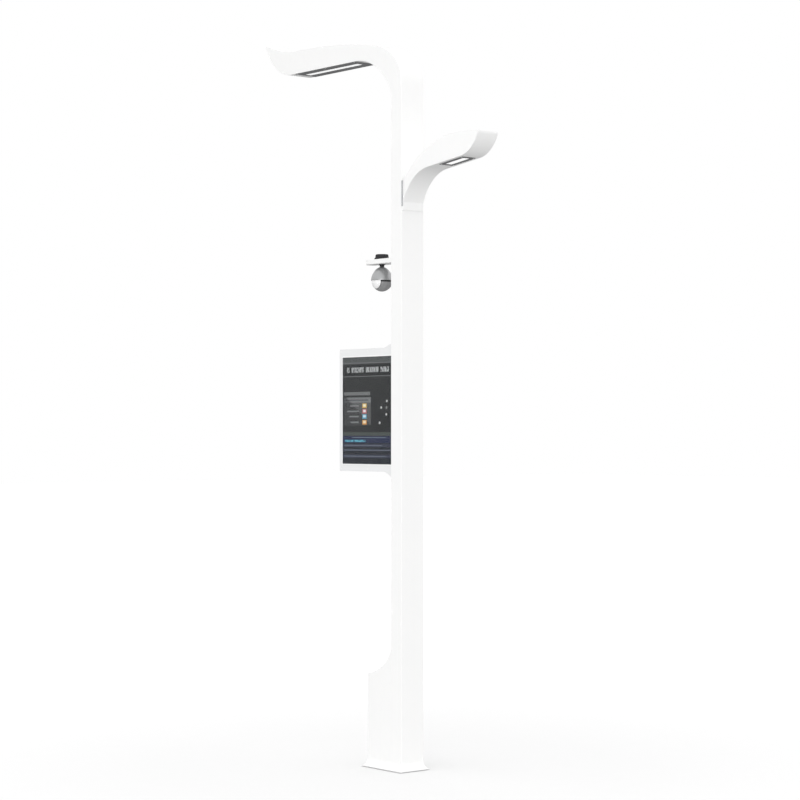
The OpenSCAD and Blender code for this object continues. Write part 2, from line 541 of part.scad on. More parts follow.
base_plate();
base_skirt_front();
base_skirt_rear();
column_side_plate_front();
column_side_plate_rear();
column_back_plate();
column_face_plate();
column_access_plate();
arm_spigot();
upper_arm_shell();
upper_led_bezel();
upper_led_lens();
branch_mount_plate();
branch_arm_shell();
branch_led_bezel();
branch_led_lens();
led_boards();
led_chips();
led_heatsinks();
led_drivers();
camera_shelf();
camera_junction_box();
camera_neck();
camera_hood();
camera_yoke();
camera_seal();
camera_tilt_pins();
camera_ball();
camera_lens();
camera_window();
display_case();
display_bezel_front();
display_bezel_rear();
display_glass_front();
display_glass_rear();
display_lcd_front();
display_lcd_rear();
display_chassis();
display_controller();
display_power_supply();
cabinet_shell();
cabinet_door();
door_hinge_leaf_fixed();
door_hinge_leaf_moving();
door_lock();
socket_panel();
socket_body();
socket_flap();
status_ring();
rfid_reader();
start_button();
equipment_plate();
circuit_breakers();
contactor();
energy_meter();
charge_controller();
terminal_block();
wiring_harness();
structural_bolts();
cover_screws();
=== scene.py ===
import json
import math
import bpy
import bmesh
from mathutils import Matrix, Vector


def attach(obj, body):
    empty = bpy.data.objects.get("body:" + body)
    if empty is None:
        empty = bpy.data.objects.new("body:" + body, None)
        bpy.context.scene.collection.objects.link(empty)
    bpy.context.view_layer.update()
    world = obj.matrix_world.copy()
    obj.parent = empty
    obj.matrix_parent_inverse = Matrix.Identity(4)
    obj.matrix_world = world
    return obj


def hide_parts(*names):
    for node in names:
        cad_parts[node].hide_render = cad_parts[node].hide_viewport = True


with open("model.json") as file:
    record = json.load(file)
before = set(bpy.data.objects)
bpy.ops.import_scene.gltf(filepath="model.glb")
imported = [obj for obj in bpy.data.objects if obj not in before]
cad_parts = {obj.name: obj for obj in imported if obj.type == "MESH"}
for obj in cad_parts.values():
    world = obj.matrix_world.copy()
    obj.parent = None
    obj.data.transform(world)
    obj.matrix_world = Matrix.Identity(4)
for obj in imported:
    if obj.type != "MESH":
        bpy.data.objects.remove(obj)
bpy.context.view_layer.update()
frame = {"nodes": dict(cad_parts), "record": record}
MM = 0.001
NODE_BODY = {n: b for b, ns in frame["record"]["behaviour"]["bodies"].items() for n in ns}
NODE_SLOT = {s["node"]: s.get("material_slot") for s in frame["record"]["subparts"]}

# ------------------------------------------------------------------ shader helpers


class Mat:
    """A small builder for procedural node materials."""

    def __init__(self, name):
        self.m = bpy.data.materials.new(name)
        self.m.use_nodes = True
        self.t = self.m.node_tree
        self.t.nodes.clear()
        self.out = self.n("ShaderNodeOutputMaterial")
        self.b = self.n("ShaderNodeBsdfPrincipled")
        self.link(self.b.outputs[0], self.out.inputs[0])
        self.co = self.n("ShaderNodeTexCoord").outputs["Object"]

    def n(self, kind, **attrs):
        node = self.t.nodes.new(kind)
        for k, v in attrs.items():
            setattr(node, k, v)
        return node

    def link(self, a, b):
        self.t.links.new(a, b)

    def put(self, sock, v):
        if isinstance(v, bpy.types.NodeSocket):
            self.link(v, sock)
        elif isinstance(v, (tuple, list)) and len(v) == 3 and sock.type == "RGBA":
            sock.default_value = (*v, 1)
        else:
            sock.default_value = v

    def math(self, op, a, b=0.0, c=None, clamp=False):
        node = self.n("ShaderNodeMath", operation=op, use_clamp=clamp)
        self.put(node.inputs[0], a)
        self.put(node.inputs[1], b)
        if c is not None:
            self.put(node.inputs[2], c)
        return node.outputs[0]

    def stretch(self, sx, sy, sz, co=None):
        node = self.n("ShaderNodeMapping")
        self.link(co or self.co, node.inputs[0])
        node.inputs["Scale"].default_value = (sx, sy, sz)
        return node.outputs[0]

    def noise(self, scale, detail=3.0, rough=0.5, co=None):
        node = self.n("ShaderNodeTexNoise")
        self.link(co or self.co, node.inputs["Vector"])
        node.inputs["Scale"].default_value = scale
        node.inputs["Detail"].default_value = detail
        node.inputs["Roughness"].default_value = rough
        return node.outputs["Fac"]

    def cells(self, scale, feature="F1", co=None, rand=1.0):
        node = self.n("ShaderNodeTexVoronoi", feature=feature)
        self.link(co or self.co, node.inputs["Vector"])
        node.inputs["Scale"].default_value = scale
        node.inputs["Randomness"].default_value = rand
        return node.outputs["Distance"]

    def remap(self, v, a, b, c, d):
        node = self.n("ShaderNodeMapRange")
        self.put(node.inputs["Value"], v)
        for k, x in (("From Min", a), ("From Max", b), ("To Min", c), ("To Max", d)):
            self.put(node.inputs[k], x)
        return node.outputs[0]

    def mix(self, f, a, b):
        node = self.n("ShaderNodeMix", data_type="RGBA")
        self.put(node.inputs["Factor"], f)
        self.put(node.inputs[6], a)
        self.put(node.inputs[7], b)
        return node.outputs[2]

    def xyz(self, co=None):
        node = self.n("ShaderNodeSeparateXYZ")
        self.link(co or self.co, node.inputs[0])
        return node.outputs

    def bump(self, height, dist, strength=1.0, under=None):
        node = self.n("ShaderNodeBump")
        self.link(height, node.inputs["Height"])
        node.inputs["Distance"].default_value = dist
        node.inputs["Strength"].default_value = strength
        if under is not None:
            self.link(under, node.inputs["Normal"])
        return node.outputs[0]

    def set(self, **kw):
        names = {"color": "Base Color", "rough": "Roughness", "metal": "Metallic", "normal": "Normal",
                 "spec": "Specular IOR Level", "ior": "IOR", "coat": "Coat Weight", "coat_rough": "Coat Roughness",
                 "trans": "Transmission Weight", "alpha": "Alpha", "emit": "Emission Color", "glow": "Emission Strength",
                 "aniso": "Anisotropic"}
        for k, v in kw.items():
            self.put(self.b.inputs[names[k]], v)
        return self.m


def two_tone(g, a, b, scale, detail=3.0, co=None):
    return g.mix(g.remap(g.noise(scale, detail, 0.55, co), 0.3, 0.7, 0.0, 1.0), a, b)


def coat_material(name, a, b, grime=0.06, rough=0.42, fine=0.00006):
    """Powder coat: orange peel, slight unevenness, faint rain streaks and a little dust near the ground."""
    g = Mat(name)
    base = two_tone(g, a, b, 2.3, 4.0)
    z = g.xyz()[2]
    low = g.remap(z, 0.0, 0.34, 1.0, 0.0)
    dust = g.math("MULTIPLY", g.math("POWER", low, 2.0), g.remap(g.noise(14.0, 5.0, 0.6), 0.35, 0.75, 0.25, 1.0))
    streak = g.remap(g.noise(9.0, 4.0, 0.6, g.stretch(3.0, 3.0, 0.12)), 0.56, 0.8, 0.0, 0.35)
    soil = g.math("MULTIPLY", g.math("ADD", dust, streak, clamp=True), grime)
    color = g.mix(soil, base, (0.42, 0.40, 0.37))
    peel = g.noise(520.0, 2.0, 0.5)
    wave = g.noise(46.0, 2.0, 0.5)
    normal = g.bump(peel, fine, 0.9, g.bump(wave, 0.00012, 0.5))
    r = g.math("ADD", g.remap(g.noise(31.0, 4.0, 0.6), 0.3, 0.7, rough - 0.05, rough + 0.05), g.math("MULTIPLY", dust, 0.18))
    return g.set(color=color, rough=r, normal=normal)


def metal_material(name, a, b, rough, scale=1.0, brushed=None, metal=1.0, cellular=False):
    g = Mat(name)
    grain = g.noise(260.0 * scale, 3.0, 0.6, g.stretch(*(brushed or (1, 1, 1))))
    tone = g.mix(g.remap(g.noise(24.0 * scale, 4.0), 0.3, 0.7, 0, 1), a, b)
    if cellular:
        spangle = g.remap(g.cells(70.0 * scale), 0.0, 0.9, 0.0, 1.0)
        tone = g.mix(g.math("MULTIPLY", spangle, 0.45), tone, tuple(min(1, x * 1.35) for x in b))
    normal = g.bump(grain, 0.00008, 0.6)
    return g.set(color=tone, rough=g.remap(grain, 0.2, 0.8, rough - 0.07, rough + 0.09), metal=metal, normal=normal)


def plastic_material(name, a, b, rough, grain=0.00007, grain_scale=900.0, tone_scale=18.0, coat=0.0):
    g = Mat(name)
    tex = g.cells(grain_scale)
    scuff = g.remap(g.noise(55.0, 5.0, 0.65, g.stretch(1, 1, 4)), 0.55, 0.8, 0.0, 0.08)
    normal = g.bump(tex, grain, 0.7)
    return g.set(color=two_tone(g, a, b, tone_scale), rough=g.math("ADD", g.remap(g.noise(40.0), 0.3, 0.7, rough - 0.04, rough + 0.05), scuff),
                 normal=normal, coat=coat, coat_rough=0.15)


MATS = {}
MATS["white_coat"] = coat_material("white_powder_coat", (0.90, 0.90, 0.895), (0.885, 0.887, 0.885))
# painted shade: the bezel coat is a darker copy of the white powder coat, for the display's shaded bezel
MATS["bezel_coat"] = coat_material("bezel_coat_painted_shade", (0.80, 0.805, 0.81), (0.785, 0.79, 0.795), grime=0.04, rough=0.36)
MATS["galvanised_steel"] = metal_material("galvanised_steel", (0.42, 0.43, 0.44), (0.52, 0.53, 0.54), 0.46, metal=0.85, cellular=True)
MATS["lamp_frame"] = plastic_material("dark_lamp_coat", (0.135, 0.136, 0.14), (0.118, 0.119, 0.123), 0.5, grain=0.00006, grain_scale=700.0)
MATS["circuit_board"] = plastic_material("solder_mask", (0.02, 0.14, 0.05), (0.03, 0.18, 0.07), 0.35)
MATS["led_chip"] = plastic_material("led_phosphor", (0.85, 0.75, 0.3), (0.8, 0.68, 0.25), 0.3)
MATS["bare_aluminium"] = metal_material("extruded_aluminium", (0.72, 0.73, 0.74), (0.64, 0.65, 0.66), 0.36, brushed=(0.05, 1, 1))
MATS["driver_case"] = metal_material("die_cast_case", (0.46, 0.47, 0.48), (0.40, 0.41, 0.42), 0.5, metal=0.7)
MATS["camera_black"] = plastic_material("camera_black_plastic", (0.018, 0.018, 0.02), (0.026, 0.026, 0.028), 0.62, grain=0.0001, grain_scale=600.0)
MATS["camera_black"].node_tree.nodes["Principled BSDF"].inputs["Specular IOR Level"].default_value = 0.25
MATS["camera_white"] = plastic_material("camera_white_shell", (0.88, 0.88, 0.88), (0.86, 0.86, 0.865), 0.3, grain=0.00002, grain_scale=1200.0, coat=0.3)
MATS["camera_ball_grey"] = plastic_material("camera_ball_shell", (0.235, 0.236, 0.24), (0.215, 0.216, 0.22), 0.36, grain=0.00002, grain_scale=1200.0, coat=0.25)
MATS["stainless"] = metal_material("stainless_steel", (0.60, 0.60, 0.61), (0.54, 0.54, 0.55), 0.28, brushed=(1, 1, 0.08))
MATS["panel_plastic"] = plastic_material("panel_plastic", (0.055, 0.055, 0.06), (0.075, 0.075, 0.08), 0.48, grain=0.0001, grain_scale=750.0)
MATS["socket_plastic"] = plastic_material("socket_plastic", (0.03, 0.03, 0.033), (0.042, 0.042, 0.045), 0.34, grain=0.00003)
MATS["reader_window"] = plastic_material("reader_window", (0.018, 0.018, 0.022), (0.024, 0.024, 0.028), 0.12, grain=0.000004, coat=0.6)
MATS["button_green"] = plastic_material("button_green", (0.05, 0.38, 0.09), (0.06, 0.42, 0.11), 0.26, grain=0.00002, coat=0.4)
MATS["module_grey"] = plastic_material("module_grey", (0.52, 0.53, 0.54), (0.47, 0.48, 0.49), 0.5)
MATS["cable_rubber"] = plastic_material("cable_sheath", (0.02, 0.02, 0.021), (0.03, 0.03, 0.031), 0.55)


def hood_material():
    """Satin silver paint with a fine metallic flake."""
    g = Mat("camera_hood_silver")
    flake = g.remap(g.cells(1500.0), 0.0, 0.6, 0.0, 1.0)
    tone = g.mix(flake, (0.47, 0.475, 0.48), (0.38, 0.385, 0.39))
    tone = g.mix(g.remap(g.noise(12.0, 4.0), 0.35, 0.7, 0.0, 0.5), tone, (0.43, 0.435, 0.44))
    return g.set(color=tone, metal=0.82, rough=g.remap(g.noise(60.0, 3.0), 0.3, 0.7, 0.33, 0.41), normal=g.bump(flake, 0.000012, 0.6))


def diffuser_material():
    """Opal diffuser, lit from behind by rows of LEDs, with a fine prismatic grain."""
    g = Mat("opal_diffuser")
    grain = g.cells(420.0, rand=0.2)
    glow = g.remap(g.noise(22.0, 2.0), 0.3, 0.7, 0.86, 1.0)
    warm = g.mix(glow, (0.93, 0.95, 1.0), (1.0, 1.0, 1.0))
    return g.set(color=two_tone(g, (0.92, 0.92, 0.91), (0.88, 0.885, 0.89), 30.0), rough=g.remap(grain, 0, 0.7, 0.28, 0.42),
                 normal=g.bump(grain, 0.00015, 0.6), emit=warm, glow=0.46)


def window_material():
    g = Mat("camera_window_glass")
    film = g.noise(35.0, 3.0)
    return g.set(color=g.mix(film, (0.012, 0.014, 0.02), (0.02, 0.02, 0.032)), rough=g.remap(film, 0.3, 0.7, 0.03, 0.07), alpha=0.72,
                 coat=1.0, coat_rough=0.02, normal=g.bump(g.noise(90.0), 0.000004, 0.4))


def glass_material():
    """Anti-glare cover glass: clear, with a faint etched grain and a few wiped smears."""
    g = Mat("display_cover_glass")
    smear = g.remap(g.noise(7.0, 5.0, 0.6, g.stretch(1, 1, 2.4)), 0.45, 0.75, 0.0, 0.05)
    return g.set(color=g.mix(g.noise(3.0), (0.93, 0.95, 0.955), (0.95, 0.965, 0.97)), trans=1.0, ior=1.15, rough=g.math("ADD", smear, 0.015),
                 normal=g.bump(g.noise(800.0, 2.0), 0.000003, 0.3))


def status_material():
    g = Mat("status_light_green")
    n = g.noise(60.0, 2.0)
    return g.set(color=g.mix(n, (0.12, 0.55, 0.25), (0.16, 0.62, 0.3)), rough=g.remap(n, 0.3, 0.7, 0.25, 0.35), normal=g.bump(g.cells(700.0), 0.00004, 0.5),
                 emit=g.mix(n, (0.10, 0.9, 0.32), (0.15, 1.0, 0.42)), glow=0.5)


def screen_material():
    """The lit picture: a generic information page of bars, tiles and icons with no lettering."""
    g = Mat("screen_picture")
    px, py, pz = g.xyz()
    x = g.math("MULTIPLY", px, 1000.0)
    z = g.math("MULTIPLY", pz, 1000.0)

    def band(v, lo, hi, soft=1.5):
        d = g.math("ABSOLUTE", g.math("SUBTRACT", v, (lo + hi) / 2))
        return g.remap(d, (hi - lo) / 2 - soft, (hi - lo) / 2 + soft, 1.0, 0.0)

    def rect(x0, x1, z0, z1, soft=1.5):
        return g.math("MULTIPLY", band(x, x0, x1, soft), band(z, z0, z1, soft))

    def dot(cx, cz, r):
        dx, dz = g.math("SUBTRACT", x, cx), g.math("SUBTRACT", z, cz)
        d = g.math("SQRT", g.math("ADD", g.math("MULTIPLY", dx, dx), g.math("MULTIPLY", dz, dz)))
        return g.remap(d, r - 3, r + 3, 1.0, 0.0)

    def over(color, mask, tone, amount=1.0):
        return g.mix(g.math("MULTIPLY", mask, amount) if amount != 1.0 else mask, color, tone)

    s = g.remap(z, 2820.0, 3440.0, 0.0, 1.0)
    c = g.mix(s, (0.010, 0.011, 0.012), (0.025, 0.026, 0.026))
    c = over(c, rect(-60, 700, 3378, 3450), (0.080, 0.084, 0.085))
    c = over(c, rect(-60, 700, 3382, 3390), (0.14, 0.15, 0.15))
    c = over(c, rect(5, 616, 3280, 3370), (0.009, 0.010, 0.011))
    step = g.math("PINGPONG", g.math("ADD", x, g.remap(g.noise(34.0, 1.0), 0.3, 0.7, -12.0, 12.0)), 13.0)
    tick = g.remap(step, 4.0, 7.0, 0.25, 1.0)
    gap = g.math("GREATER_THAN", g.math("MODULO", g.math("ADD", x, 60.0), 196.0), 26.0)
    c = over(c, g.math("MULTIPLY", g.math("MULTIPLY", rect(25, 589, 3306, 3349, 3.0), tick), gap), (0.45, 0.46, 0.46))
    c = over(c, rect(-60, 700, 3270, 3276), (0.15, 0.155, 0.155))
    # window with two bars and a list of tiles
    c = over(c, rect(264, 629, 2856, 3049), (0.095, 0.096, 0.098))
    c = over(c, rect(275, 629, 3113, 3141, 3.0), (0.17, 0.175, 0.175))
    c = over(c, rect(264, 629, 3049, 3095, 3.0), (0.19, 0.195, 0.20))
    c = over(c, rect(300, 600, 3066, 3078, 2.0), (0.10, 0.10, 0.105))
    # painted glare: the lower corner of the page, outside a slanting patch of glare painted into the picture, is
    # darkened
    slant = g.math("SUBTRACT", g.math("MULTIPLY_ADD", x, 0.72, 2666.0), z)
    outside_painted_glare = g.math("MULTIPLY", g.remap(slant, -9.0, 9.0, 0.0, 1.0), rect(150, 700, 2803, 3125, 6.0))
    c = over(c, outside_painted_glare, (0.022, 0.023, 0.025), 0.72)
    for zc, tone, edge, bar in ((3024, (0.70, 0.46, 0.10), (0.86, 0.80, 0.62), 543), (2977, (0.48, 0.13, 0.14), (0.80, 0.76, 0.78), 586),
                                (2933, (0.10, 0.36, 0.52), (0.66, 0.78, 0.82), 556), (2884, (0.74, 0.34, 0.07), (0.85, 0.74, 0.52), 537)):
        c = over(c, rect(321, 379, zc - 19, zc + 19, 2.0), tone)
        c = over(c, rect(332, 368, zc - 8, zc + 13, 3.0), edge)
        c = over(c, rect(428, bar, zc - 6, zc + 6, 2.0), (0.21, 0.215, 0.22))
    for cx, cz, r, v in ((51, 3061, 10, 0.62), (125, 3007, 10, 0.66), (56, 3006, 12, 0.22), (58, 2950, 10, 0.62), (146, 2879, 11, 0.58)):
        c = over(c, dot(cx, cz, r), (v, v, v))
    # footer bands
    c = over(c, rect(-60, 700, 2771, 2801), (0.060, 0.070, 0.064))
    c = over(c, rect(-60, 700, 2520, 2770), (0.010, 0.013, 0.020))
    c = over(c, rect(-60, 700, 2709, 2767), (0.012, 0.018, 0.060))
    c = over(c, rect(59, 517, 2753, 2759), (0.16, 0.20, 0.26))
    seg = g.remap(g.noise(38.0, 1.0), 0.42, 0.56, 0.25, 1.0)
    c = over(c, g.math("MULTIPLY", rect(332, 616, 2718, 2735), seg), (0.13, 0.50, 0.66))
    for z0, z1, x0 in ((2675, 2701, 120), (2642, 2656, 0), (2583, 2611, 60)):
        c = over(c, rect(-60, 700, z0, z1, 2.0), (0.034, 0.038, 0.064))
        zc = (z0 + z1) / 2
        c = over(c, rect(x0, 622, zc - 3, zc + 3, 1.5), (0.15, 0.17, 0.22))
    c = over(c, g.remap(x, -38.0, 12.0, 1.0, 0.0), (0.012, 0.013, 0.014), 0.75)
    grid = g.math("MULTIPLY", g.math("PINGPONG", x, 0.6), g.math("PINGPONG", z, 0.6))
    c = g.mix(g.remap(grid, 0.0, 0.3, 0.10, 0.0), c, (0.0, 0.0, 0.0))
    return g.set(color=(0.012, 0.012, 0.013), rough=g.remap(g.noise(90.0), 0.3, 0.7, 0.3, 0.4), emit=c, glow=1.0, spec=0.1)


MATS["camera_hood_grey"] = hood_material()
MATS["diffuser"] = diffuser_material()
MATS["camera_glass"] = window_material()
MATS["screen_glass"] = glass_material()
MATS["screen_panel"] = screen_material()
MATS["status_light"] = status_material()

# ------------------------------------------------------------------ mesh helpers (all in millimetres)


def make(name, verts, faces):
    me = bpy.data.meshes.new(name)
    me.from_pydata([(v[0] * MM, v[1] * MM, v[2] * MM) for v in verts], [], faces)
    bm = bmesh.new()
    bm.from_mesh(me)
    bmesh.ops.remove_doubles(bm, verts=bm.verts, dist=1e-7)
    bmesh.ops.recalc_face_normals(bm, faces=bm.faces)
    bm.to_mesh(me)
    bm.free()
    ob = bpy.data.objects.new(name, me)
    bpy.context.scene.collection.objects.link(ob)
    return ob


def bez(a, b, c, d, n=40):
    out = []
    for i in range(n + 1):
        t = i / n
        s = 1 - t
        out.append(tuple(s ** 3 * a[k] + 3 * s * s * t * b[k] + 3 * s * t * t * c[k] + t ** 3 * d[k] for k in (0, 1)))
    return out


def arc(c, r, a0, a1, n=8):
    return [(c[0] + r * math.cos(math.radians(a0 + (a1 - a0) * i / n)), c[1] + r * math.sin(math.radians(a0 + (a1 - a0) * i / n))) for i in range(n + 1)]


def tidy(pts):
    out = []
    for p in pts:
        if not out or math.dist(p, out[-1]) > 1e-4:
            out.append(p)
    if math.dist(out[0], out[-1]) < 1e-4:
        out.pop()
    return out


def inset(pts, w):
    pts = tidy(pts)
    out = []
    for i, p in enumerate(pts):
        a, b = pts[i - 1], pts[(i + 1) % len(pts)]
        d1, d2 = Vector((p[0] - a[0], p[1] - a[1])).normalized(), Vector((b[0] - p[0], b[1] - p[1])).normalized()
        n1, n2 = Vector((-d1.y, d1.x)), Vector((-d2.y, d2.x))
        m = (n1 + n2) / (1 + n1.dot(n2))
        out.append((p[0] + w * m.x, p[1] + w * m.y))
    return out


def prism(name, pts, plane, a0, a1):
    pts = tidy(pts)
    at = {"xz": lambda p, a: (p[0], a, p[1]), "xy": lambda p, a: (p[0], p[1], a), "yz": lambda p, a: (a, p[0], p[1])}[plane]
    n = len(pts)
    verts = [at(p, a0) for p in pts] + [at(p, a1) for p in pts]
    faces = [tuple(range(n)), tuple(range(n, 2 * n))] + [(i, (i + 1) % n, n + (i + 1) % n, n + i) for i in range(n)]
    return make(name, verts, faces)


def rect_pts(x0, x1, y0, y1, r=0.0, n=6):
    if r <= 0:
        return [(x0, y0), (x1, y0), (x1, y1), (x0, y1)]
    return (arc((x0 + r, y0 + r), r, 180, 270, n) + arc((x1 - r, y0 + r), r, 270, 360, n)
            + arc((x1 - r, y1 - r), r, 0, 90, n) + arc((x0 + r, y1 - r), r, 90, 180, n))


def block(name, a, b):
    return prism(name, rect_pts(a[0], b[0], a[1], b[1]), "xy", a[2], b[2])


def lathe(name, profile, centre=(0, 0, 0), axis="z", n=96):
    """Turns a closed profile of (radius, height) about an axis."""
    rings, verts = [], []
    for r, h in profile:
        if r < 1e-6:
            rings.append([len(verts)])
            verts.append((0, 0, h))
        else:
            rings.append(list(range(len(verts), len(verts) + n)))
            verts += [(r * math.cos(2 * math.pi * i / n), r * math.sin(2 * math.pi * i / n), h) for i in range(n)]
    faces = []
    for k in range(len(rings)):
        a, b = rings[k], rings[(k + 1) % len(rings)]
        if len(a) == 1 and len(b) == 1:
            continue
        for i in range(n):
            j = (i + 1) % n
            if len(a) == 1:
                faces.append((a[0], b[i], b[j]))
            elif len(b) == 1:
                faces.append((a[i], b[0], a[j]))
            else:
                faces.append((a[i], b[i], b[j], a[j]))
    turn = {"z": lambda v: v, "y": lambda v: (v[0], v[2], -v[1]), "x": lambda v: (v[2], v[1], -v[0])}[axis]
    verts = [tuple(p + q for p, q in zip(turn(v), centre)) for v in verts]
    return make(name, verts, faces)


def rod(name, centre, axis, h0, h1, r, n=48):
    return lathe(name, [(0, h0), (r, h0), (r, h1), (0, h1)], centre, axis, n)


def bake(ob):
    dg = bpy.context.evaluated_depsgraph_get()
    me = bpy.data.meshes.new_from_object(ob.evaluated_get(dg))
    old = ob.data
    ob.modifiers.clear()
    ob.data = me
    bpy.data.meshes.remove(old)
    return ob


def boolean(ob, others, op):
    for o in others:
        m = ob.modifiers.new("b", "BOOLEAN")
        m.operation = op
        m.solver = "EXACT"
        m.object = o
    bpy.context.view_layer.update()
    bake(ob)
    for o in others:
        me = o.data
        bpy.data.objects.remove(o)
        bpy.data.meshes.remove(me)
    return ob


def cut(ob, *others):
    return boolean(ob, others, "DIFFERENCE")


def fuse(ob, *others):
    return boolean(ob, others, "UNION")


def soften(ob, width, seg=3, angle=30, pick=None):
    """Rounds edges. pick gets the edge's middle, in millimetres, and its direction."""
    bm = bmesh.new()
    bm.from_mesh(ob.data)
    bm.normal_update()
    chosen = []
    for e in bm.edges:
        if not e.is_manifold or e.calc_face_angle(0) < math.radians(angle):
            continue
        mid = (e.verts[0].co + e.verts[1].co) / 2 / MM
        way = (e.verts[1].co - e.verts[0].co).normalized()
        if pick is None or pick(mid, way):
            chosen.append(e)
    bmesh.ops.bevel(bm, geom=chosen, offset=width * MM, offset_type="OFFSET", segments=seg, profile=0.5, affect="EDGES", clamp_overlap=True)
    bm.to_mesh(ob.data)
    bm.free()
    return ob


def clean(ob):
    bm = bmesh.new()
    bm.from_mesh(ob.data)
    bmesh.ops.remove_doubles(bm, verts=bm.verts, dist=2e-6)
    bmesh.ops.dissolve_degenerate(bm, edges=bm.edges, dist=2e-6)
    bm.to_mesh(ob.data)
    bm.free()
    return ob


def place(ob, nodes, mat=None, slot=None, angle=34, body=None):
    """Gives a finished piece its shading, material, body and the CAD nodes it stands for."""
    nodes = [nodes] if isinstance(nodes, str) else list(nodes)
    clean(ob)
    me = ob.data
    me.shade_smooth()
    me.set_sharp_from_angle(angle=math.radians(angle))
    w = ob.modifiers.new("even_normals", "WEIGHTED_NORMAL")
    w.keep_sharp = True
    w.weight = 70
    slot = slot or NODE_SLOT[nodes[0]]
    me.materials.clear()
    me.materials.append(mat or MATS[slot])
    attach(ob, body or NODE_BODY[nodes[0]])
    if nodes:
        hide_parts(*nodes)
    return ob


def remake(node, name, width=0.6, seg=2, angle=38, smooth=34, merge=True):
    """A new piece with the CAD node's exact shape, welded, with its edges rounded."""
    src = frame["nodes"][node]
    bm = bmesh.new()
    bm.from_mesh(src.data)
    bmesh.ops.remove_doubles(bm, verts=bm.verts, dist=5e-6)
    if merge:
        bmesh.ops.dissolve_limit(bm, angle_limit=math.radians(0.6), verts=bm.verts, edges=bm.edges, delimit=set())
    bm.normal_update()
    me = bpy.data.meshes.new(name)
    bm.to_mesh(me)
    bm.free()
    for a in list(me.attributes):
        if a.name == "custom_normal":
            me.attributes.remove(a)
    ob = bpy.data.objects.new(name, me)
    bpy.context.scene.collection.objects.link(ob)
    if width > 0:
        soften(ob, width, seg, angle)
    return place(ob, node, angle=smooth)


# ------------------------------------------------------------------ dimensions of the frame, from the CAD
XB, XF, XC, HW = -219.0, -85.0, 219.0, 118.5
TOP, UNDER, REACH = 5560.0, 5932.0, 1904.0

# ------------------------------------------------------------------ column
col = prism("post_column", rect_pts(XB, XF, -HW, HW), "xy", 20, TOP)
soften(col, 2.6, 4, pick=lambda m, w: abs(w.z) > 0.9)
cut(col, block("c", (XB + 5, -HW + 5, 10), (XF - 5, HW - 5, TOP + 10)), block("c", (XF - 8, -70, 80), (XF + 3, 70, 480)),
    rod("c", (0, 20, 3000), "x", XF - 9, XF + 3, 12), rod("c", (0, 20, 4230.5), "x", XF - 9, XF + 3, 12), rod("c", (0, 20, 4780), "x", XB - 3, XB + 9, 12))
place(col, ["column_face_plate", "column_side_plate_rear", "column_side_plate_front", "column_back_plate", "column_access_plate"])

# ------------------------------------------------------------------ upper arm
u1 = bez((134, TOP + 10), (134, 5700), (330, UNDER - 7), (600, UNDER), 56)
u2 = bez((1520, UNDER), (1640, UNDER), (1800, UNDER + 78), (REACH - 8, UNDER + 293), 56)
t1 = bez((REACH, UNDER + 305), (REACH - 144, UNDER + 248), (1600, UNDER + 198), (1400, UNDER + 198), 56)
t2 = bez((1400, UNDER + 198), (1050, UNDER + 198), (640, UNDER + 160), (380, UNDER + 108), 56)
t3 = bez((380, UNDER + 108), (160, UNDER + 64), (0, 5860), (0, 5680), 56)


def off(pts):
    return [(p[0] + XB, p[1]) for p in pts]


outer = off([(0, TOP), (134, TOP)] + u1 + u2 + t1 + t2[1:] + t3[1:])
inner = inset(off([(0, TOP - 20), (134, TOP - 20)] + u1 + u2[:45] + t1[16:] + t2[1:] + t3[1:]), 4)
arm = prism("lamp_arm_upper", outer, "xz", -HW, HW)
soften(arm, 2.6, 4, angle=25, pick=lambda m, w: m.z > TOP + 0.5)
cut(arm, prism("c", inner, "xz", -HW + 4, HW - 4), block("c", (403, -101, UNDER - 6), (1234, 101, UNDER + 8)))
place(arm, "upper_arm_shell")


